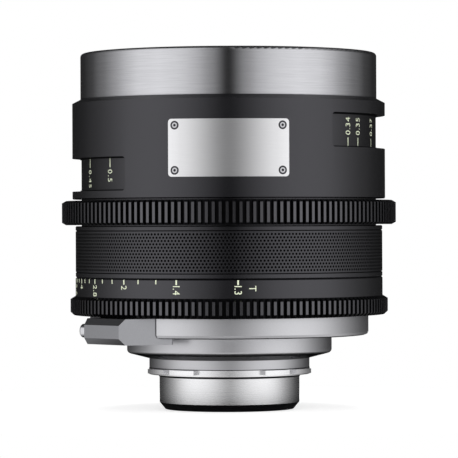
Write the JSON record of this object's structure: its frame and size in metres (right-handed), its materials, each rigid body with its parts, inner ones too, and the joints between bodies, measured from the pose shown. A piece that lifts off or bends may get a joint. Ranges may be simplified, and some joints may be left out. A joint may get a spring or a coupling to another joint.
{
  "type": "cinema prime lens",
  "caption": "Large cinema prime lens with geared focus and iris rings, a bladed iris, a sliding focus group and a 54 mm bayonet mount.",
  "frame": {"origin": "on the optical axis, in the plane of the flange seat", "axes": "+Z along the optical axis towards the front of the lens, which points up; the name plate faces -Y and +X is to its right"},
  "size_m": [0.1288, 0.1288, 0.1368],
  "materials": {
    "black_anodised": "satin black anodised",
    "satin_chrome": "turned and satin",
    "bead_blasted": "bead blasted, clear anodised",
    "grey_anodised": "matt grey anodised",
    "steel": "bright",
    "brushed_plate": "brushed",
    "brushed_bezel": "brushed round the ring",
    "brass": "turned",
    "glass": "polished and coated",
    "blade_steel": "blackened",
    "grip": "dimpled rubber"
  },
  "bodies": {
    "fixed": {"camera_mount": "satin_chrome", "mount_screws": "steel", "mount_shim": "steel", "mount_adaptor": "satin_chrome", "adaptor_screws": "steel", "rear_baffle": "black_anodised", "rear_body": "bead_blasted", "barrel_screws": "steel", "support_foot": "grey_anodised", "foot_screws": "steel", "support_bush": "steel", "guide_barrel": "black_anodised", "iris_base_plate": "black_anodised", "iris_retaining_ring": "brass", "focus_stop_block": "black_anodised", "front_housing": "black_anodised", "housing_screws": "steel", "name_plate": "brushed_plate", "name_plate_screws": "steel", "front_bezel_ring": "brushed_bezel", "front_cell": "black_anodised", "front_element": "glass", "front_retaining_ring": "black_anodised", "second_element": "glass", "second_retaining_ring": "black_anodised", "rear_cell": "black_anodised", "rear_front_element": "glass", "rear_retaining_ring": "black_anodised", "rear_middle_element": "glass", "rear_last_element": "glass"},
    "focus": {"focus_cam_barrel": "black_anodised", "focus_scale_ring": "black_anodised", "focus_grip_sleeve": "grip", "focus_gear_ring": "black_anodised", "focus_ring_screws": "steel"},
    "focus_group": {"focus_cell": "black_anodised", "focus_rollers": "steel", "focus_front_element": "glass", "focus_front_retainer": "black_anodised", "focus_middle_element": "glass", "focus_rear_element": "glass", "focus_rear_retainer": "black_anodised"},
    "iris": {"iris_scale_ring": "black_anodised", "iris_gear_ring": "black_anodised", "iris_drive_key": "steel", "iris_drive_ring": "black_anodised"},
    "blade_01": {"iris_blade_01": "blade_steel"},
    "blade_02": {"iris_blade_02": "blade_steel"},
    "blade_03": {"iris_blade_03": "blade_steel"},
    "blade_04": {"iris_blade_04": "blade_steel"},
    "blade_05": {"iris_blade_05": "blade_steel"},
    "blade_06": {"iris_blade_06": "blade_steel"},
    "blade_07": {"iris_blade_07": "blade_steel"},
    "blade_08": {"iris_blade_08": "blade_steel"},
    "blade_09": {"iris_blade_09": "blade_steel"},
    "blade_10": {"iris_blade_10": "blade_steel"},
    "blade_11": {"iris_blade_11": "blade_steel"},
    "blade_12": {"iris_blade_12": "blade_steel"},
    "blade_13": {"iris_blade_13": "blade_steel"}
  },
  "joints": [
    {"name": "focus_turn", "type": "hinge", "parent": "fixed", "child": "focus", "pos_m": [0, 0, 0], "axis": [0, 0, 1], "range_deg": [-262, 38]},
    {"name": "focus_group_slide", "type": "slide", "parent": "fixed", "child": "focus_group", "axis": [0, 0, 1], "range_m": [-0.00873, 0.00127]},
    {"name": "iris_turn", "type": "hinge", "parent": "fixed", "child": "iris", "pos_m": [0, 0, 0], "axis": [0, 0, 1], "range_deg": [-93.2, 14]},
    {"name": "blade_01_swing", "type": "hinge", "parent": "fixed", "child": "blade_01", "pos_m": [0.031, 0, 0.033], "axis": [0, 0, 1], "range_deg": [-28.09, 4.22]},
    {"name": "blade_02_swing", "type": "hinge", "parent": "fixed", "child": "blade_02", "pos_m": [0.02745, 0.01441, 0.033], "axis": [0, 0, 1], "range_deg": [-28.09, 4.22]},
    {"name": "blade_03_swing", "type": "hinge", "parent": "fixed", "child": "blade_03", "pos_m": [0.01761, 0.02551, 0.033], "axis": [0, 0, 1], "range_deg": [-28.09, 4.22]},
    {"name": "blade_04_swing", "type": "hinge", "parent": "fixed", "child": "blade_04", "pos_m": [0.00374, 0.03077, 0.033], "axis": [0, 0, 1], "range_deg": [-28.09, 4.22]},
    {"name": "blade_05_swing", "type": "hinge", "parent": "fixed", "child": "blade_05", "pos_m": [-0.01099, 0.02899, 0.033], "axis": [0, 0, 1], "range_deg": [-28.09, 4.22]},
    {"name": "blade_06_swing", "type": "hinge", "parent": "fixed", "child": "blade_06", "pos_m": [-0.0232, 0.02056, 0.033], "axis": [0, 0, 1], "range_deg": [-28.09, 4.22]},
    {"name": "blade_07_swing", "type": "hinge", "parent": "fixed", "child": "blade_07", "pos_m": [-0.0301, 0.00742, 0.033], "axis": [0, 0, 1], "range_deg": [-28.09, 4.22]},
    {"name": "blade_08_swing", "type": "hinge", "parent": "fixed", "child": "blade_08", "pos_m": [-0.0301, -0.00742, 0.033], "axis": [0, 0, 1], "range_deg": [-28.09, 4.22]},
    {"name": "blade_09_swing", "type": "hinge", "parent": "fixed", "child": "blade_09", "pos_m": [-0.0232, -0.02056, 0.033], "axis": [0, 0, 1], "range_deg": [-28.09, 4.22]},
    {"name": "blade_10_swing", "type": "hinge", "parent": "fixed", "child": "blade_10", "pos_m": [-0.01099, -0.02899, 0.033], "axis": [0, 0, 1], "range_deg": [-28.09, 4.22]},
    {"name": "blade_11_swing", "type": "hinge", "parent": "fixed", "child": "blade_11", "pos_m": [0.00374, -0.03077, 0.033], "axis": [0, 0, 1], "range_deg": [-28.09, 4.22]},
    {"name": "blade_12_swing", "type": "hinge", "parent": "fixed", "child": "blade_12", "pos_m": [0.01761, -0.02551, 0.033], "axis": [0, 0, 1], "range_deg": [-28.09, 4.22]},
    {"name": "blade_13_swing", "type": "hinge", "parent": "fixed", "child": "blade_13", "pos_m": [0.02745, -0.01441, 0.033], "axis": [0, 0, 1], "range_deg": [-28.09, 4.22]}
  ],
  "couplings": [
    {"joint": "focus_group_slide", "follows": "focus_turn", "m_per_rad": 0.0019099},
    {"joint": "blade_01_swing", "follows": "iris_turn", "ratio": 0.30139},
    {"joint": "blade_02_swing", "follows": "iris_turn", "ratio": 0.30139},
    {"joint": "blade_03_swing", "follows": "iris_turn", "ratio": 0.30139},
    {"joint": "blade_04_swing", "follows": "iris_turn", "ratio": 0.30139},
    {"joint": "blade_05_swing", "follows": "iris_turn", "ratio": 0.30139},
    {"joint": "blade_06_swing", "follows": "iris_turn", "ratio": 0.30139},
    {"joint": "blade_07_swing", "follows": "iris_turn", "ratio": 0.30139},
    {"joint": "blade_08_swing", "follows": "iris_turn", "ratio": 0.30139},
    {"joint": "blade_09_swing", "follows": "iris_turn", "ratio": 0.30139},
    {"joint": "blade_10_swing", "follows": "iris_turn", "ratio": 0.30139},
    {"joint": "blade_11_swing", "follows": "iris_turn", "ratio": 0.30139},
    {"joint": "blade_12_swing", "follows": "iris_turn", "ratio": 0.30139},
    {"joint": "blade_13_swing", "follows": "iris_turn", "ratio": 0.30139}
  ]
}
